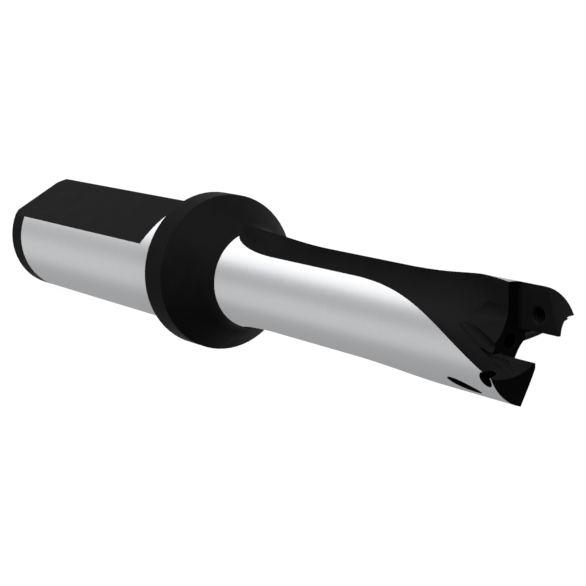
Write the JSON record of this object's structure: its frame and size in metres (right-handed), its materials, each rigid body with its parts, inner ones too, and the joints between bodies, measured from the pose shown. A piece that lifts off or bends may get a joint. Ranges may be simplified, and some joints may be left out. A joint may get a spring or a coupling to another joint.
{
  "type": "indexable drill body",
  "caption": "Short straight-shank drill body with stop flange, twin flutes that curl near the point, and a slotted tip with seats for a screwed-in cutting insert.",
  "frame": {"origin": "centre of the shank's end face, at the base of the standing drill", "axes": "+Z along the drill towards its point, -Y out of the clamping flat on the shank"},
  "size_m": [0.025, 0.025, 0.133],
  "materials": {
    "steel": "ground bright on the shank and body lands, blackened on every milled face"
  },
  "bodies": {
    "root": {"drill_body": "steel"}
  },
  "joints": []
}
